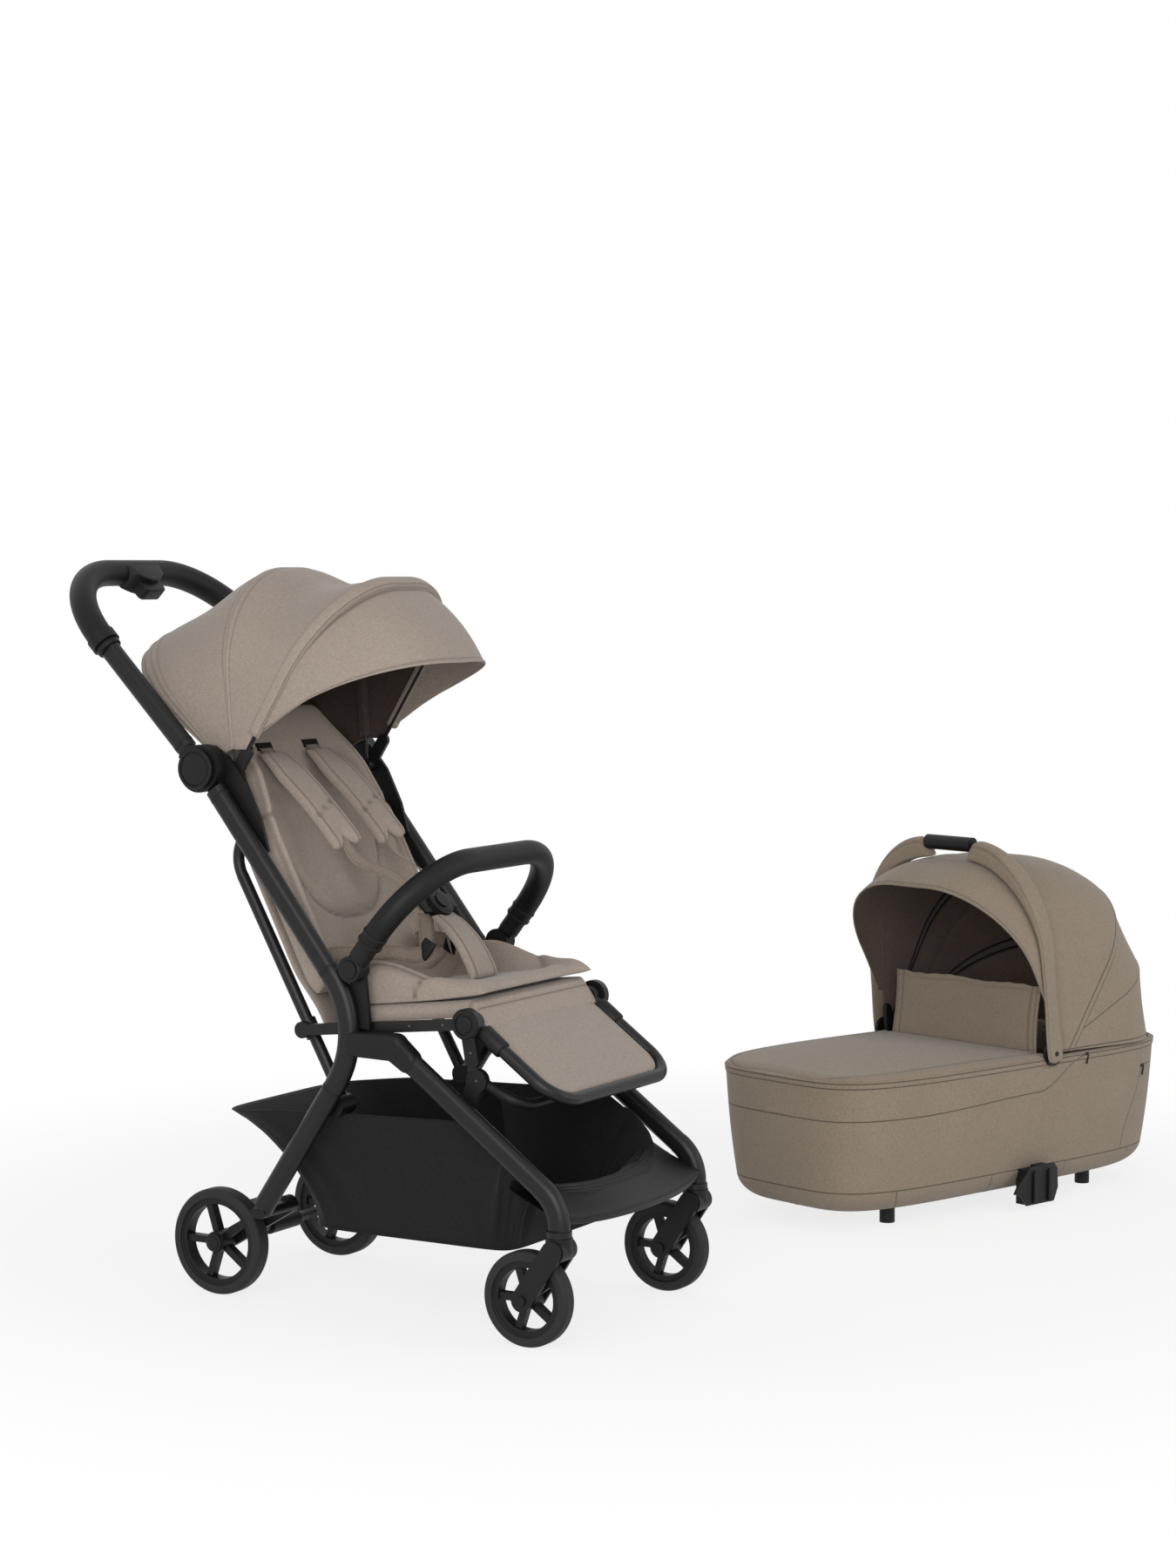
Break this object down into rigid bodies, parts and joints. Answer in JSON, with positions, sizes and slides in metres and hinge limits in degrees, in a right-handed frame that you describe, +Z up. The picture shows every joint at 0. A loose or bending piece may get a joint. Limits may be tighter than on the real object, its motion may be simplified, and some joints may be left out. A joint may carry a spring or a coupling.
{
  "type": "pushchair with carrycot",
  "caption": "Folding pushchair with canopy, reclining seat and cloth basket, and the hooded carrycot that belongs to it standing beside it on the floor.",
  "frame": {"origin": "middle of the bounding box of the set, on the floor", "axes": "+X towards the left side of the pushchair, where the carrycot stands; -Y the way the pushchair drives; +Z up"},
  "size_m": [1.6301, 1.1198, 1.0291],
  "materials": {
    "tube": "satin black coat on aluminium tube",
    "plastic": "matte black moulding",
    "axle_steel": "dark steel",
    "rim": "matte black",
    "tyre": "matte black tread",
    "grip": "black leatherette over foam",
    "basket_cloth": "black weave",
    "seat_cloth": "taupe melange weave",
    "webbing": "taupe webbing",
    "cot_cloth": "taupe weave",
    "lining": "dark brown knit"
  },
  "bodies": {
    "rear_frame": {"main_tubes": "tube", "hinge_housings": "plastic", "canopy_brackets": "plastic", "fold_knuckles": "plastic", "bumper_sockets": "plastic", "rear_struts": "tube", "rear_axle": "axle_steel", "axle_brackets": "plastic", "basket": "basket_cloth", "canopy_rear_cover": "seat_cloth"},
    "brake": {"brake_pedal": "plastic"},
    "front_frame": {"front_legs": "tube", "footrest": "plastic", "seat_props": "plastic"},
    "caster_right": {"caster_fork_right": "plastic"},
    "caster_left": {"caster_fork_left": "plastic"},
    "front_wheel_right": {"front_rim_right": "rim", "front_tyre_right": "tyre"},
    "front_wheel_left": {"front_rim_left": "rim", "front_tyre_left": "tyre"},
    "rear_wheel_right": {"rear_rim_right": "rim", "rear_tyre_right": "tyre"},
    "rear_wheel_left": {"rear_rim_left": "rim", "rear_tyre_left": "tyre"},
    "seat": {"seat_bars": "tube", "seat_cushion": "seat_cloth", "link_plates": "plastic", "crotch_strap": "seat_cloth", "buckle": "plastic"},
    "harness_button": {"buckle_button": "plastic"},
    "leg_rest": {"leg_rest_frame": "tube", "leg_rest_panel": "seat_cloth"},
    "backrest": {"backrest_shell": "seat_cloth", "backrest_liner": "seat_cloth", "shoulder_pads": "seat_cloth", "harness_straps": "webbing"},
    "handle": {"handle_tube": "tube", "handle_grip": "grip", "handle_hinges": "plastic", "trigger_housing": "plastic"},
    "trigger": {"fold_trigger": "plastic"},
    "canopy_mid": {"canopy_mid_hoop": "tube", "canopy_front_cover": "seat_cloth"},
    "canopy_front": {"canopy_front_hoop": "tube", "canopy_visor": "seat_cloth"},
    "bumper": {"bumper_bar": "plastic", "bumper_cover": "grip"},
    "bumper_release_right": {"bumper_button_right": "plastic"},
    "bumper_release_left": {"bumper_button_left": "plastic"},
    "carrycot": {"cot_tub": "cot_cloth", "cot_mattress": "lining", "cot_apron": "cot_cloth", "cot_fittings": "plastic", "cot_feet": "plastic", "cot_hood_cover": "cot_cloth"},
    "cot_flap": {"cot_wind_flap": "cot_cloth"},
    "cot_clips": {"cot_release": "plastic"},
    "cot_hood": {"cot_hood_arch": "cot_cloth", "cot_hood_visor": "cot_cloth", "cot_grip": "grip"}
  },
  "joints": [
    {"name": "front_fold", "type": "hinge", "parent": "rear_frame", "child": "front_frame", "pos_m": [-0.60405, -0.04004, 0.379], "axis": [1, 0, 0], "range_deg": [0, 50], "deforming": ["basket"]},
    {"name": "seat_fold", "type": "hinge", "parent": "rear_frame", "child": "seat", "pos_m": [-0.60405, 0.12265, 0.388], "axis": [-1, 0, 0], "range_deg": [0, 35], "deforming": ["harness_straps"]},
    {"name": "bumper_fold", "type": "hinge", "parent": "rear_frame", "child": "bumper", "pos_m": [-0.60405, 0.02596, 0.48], "axis": [-1, 0, 0], "range_deg": [0, 35]},
    {"name": "leg_rest_tilt", "type": "hinge", "parent": "seat", "child": "leg_rest", "pos_m": [-0.60405, -0.14204, 0.415], "axis": [-1, 0, 0], "range_deg": [0, 40]},
    {"name": "recline", "type": "hinge", "parent": "rear_frame", "child": "backrest", "pos_m": [-0.60405, 0.12265, 0.388], "axis": [-1, 0, 0], "range_deg": [0, 35], "deforming": ["harness_straps"]},
    {"name": "handle_fold", "type": "hinge", "parent": "rear_frame", "child": "handle", "pos_m": [-0.60405, 0.27644, 0.74199], "axis": [-1, 0, 0], "range_deg": [0, 115]},
    {"name": "handle_trigger", "type": "slide", "parent": "handle", "child": "trigger", "axis": [0, 0.7009, 0.7133], "range_m": [0, 0.006], "stiffness_N_per_m": 800},
    {"name": "canopy_mid_fold", "type": "hinge", "parent": "rear_frame", "child": "canopy_mid", "pos_m": [-0.60405, 0.23794, 0.72899], "axis": [-1, 0, 0], "range_deg": [0, 40], "deforming": ["canopy_rear_cover", "canopy_front_cover"]},
    {"name": "canopy_front_fold", "type": "hinge", "parent": "canopy_mid", "child": "canopy_front", "pos_m": [-0.60405, 0.23794, 0.72899], "axis": [-1, 0, 0], "range_deg": [0, 30], "deforming": ["canopy_front_cover"]},
    {"name": "swivel_right", "type": "hinge", "parent": "front_frame", "child": "caster_right", "pos_m": [-0.79105, -0.29504, 0.15], "axis": [0, 0, 1], "continuous": true},
    {"name": "swivel_left", "type": "hinge", "parent": "front_frame", "child": "caster_left", "pos_m": [-0.41705, -0.29504, 0.15], "axis": [0, 0, 1], "continuous": true},
    {"name": "roll_front_right", "type": "hinge", "parent": "caster_right", "child": "front_wheel_right", "pos_m": [-0.79105, -0.24904, 0.064], "axis": [1, 0, 0], "continuous": true},
    {"name": "roll_front_left", "type": "hinge", "parent": "caster_left", "child": "front_wheel_left", "pos_m": [-0.41705, -0.24904, 0.064], "axis": [1, 0, 0], "continuous": true},
    {"name": "roll_rear_right", "type": "hinge", "parent": "rear_frame", "child": "rear_wheel_right", "pos_m": [-0.74905, 0.28196, 0.075], "axis": [1, 0, 0], "continuous": true},
    {"name": "roll_rear_left", "type": "hinge", "parent": "rear_frame", "child": "rear_wheel_left", "pos_m": [-0.45905, 0.28196, 0.075], "axis": [1, 0, 0], "continuous": true},
    {"name": "brake_tilt", "type": "hinge", "parent": "rear_frame", "child": "brake", "pos_m": [-0.60405, 0.28196, 0.075], "axis": [1, 0, 0], "range_deg": [0, 25]},
    {"name": "bumper_push_right", "type": "slide", "parent": "bumper", "child": "bumper_release_right", "axis": [1, 0, 0], "range_m": [0, 0.0025], "stiffness_N_per_m": 600},
    {"name": "bumper_push_left", "type": "slide", "parent": "bumper", "child": "bumper_release_left", "axis": [-1, 0, 0], "range_m": [0, 0.0025], "stiffness_N_per_m": 600},
    {"name": "buckle_push", "type": "slide", "parent": "seat", "child": "harness_button", "axis": [0, 0.7652, -0.6438], "range_m": [0, 0.0025], "stiffness_N_per_m": 600},
    {"name": "carrycot_lift", "type": "slide", "parent": "rear_frame", "child": "carrycot", "axis": [0, 0, 1], "range_m": [0, 0.4]},
    {"name": "hood_fold", "type": "hinge", "parent": "carrycot", "child": "cot_hood", "pos_m": [0.4654, -0.32411, 0.245], "axis": [0.309, 0.9511, 0], "range_deg": [0, 70], "deforming": ["cot_hood_cover"]},
    {"name": "flap_fold", "type": "hinge", "parent": "carrycot", "child": "cot_flap", "pos_m": [0.45744, -0.32152, 0.24613], "axis": [-0.309, -0.9511, 0], "range_deg": [0, 60]},
    {"name": "clip_push", "type": "slide", "parent": "carrycot", "child": "cot_clips", "axis": [0, 0, -1], "range_m": [0, 0.006], "stiffness_N_per_m": 600}
  ],
  "couplings": [
    {"joint": "seat_fold", "follows": "front_fold", "ratio": 0.7},
    {"joint": "bumper_fold", "follows": "front_fold", "ratio": 0.7},
    {"joint": "canopy_front_fold", "follows": "canopy_mid_fold", "ratio": 0.75}
  ]
}
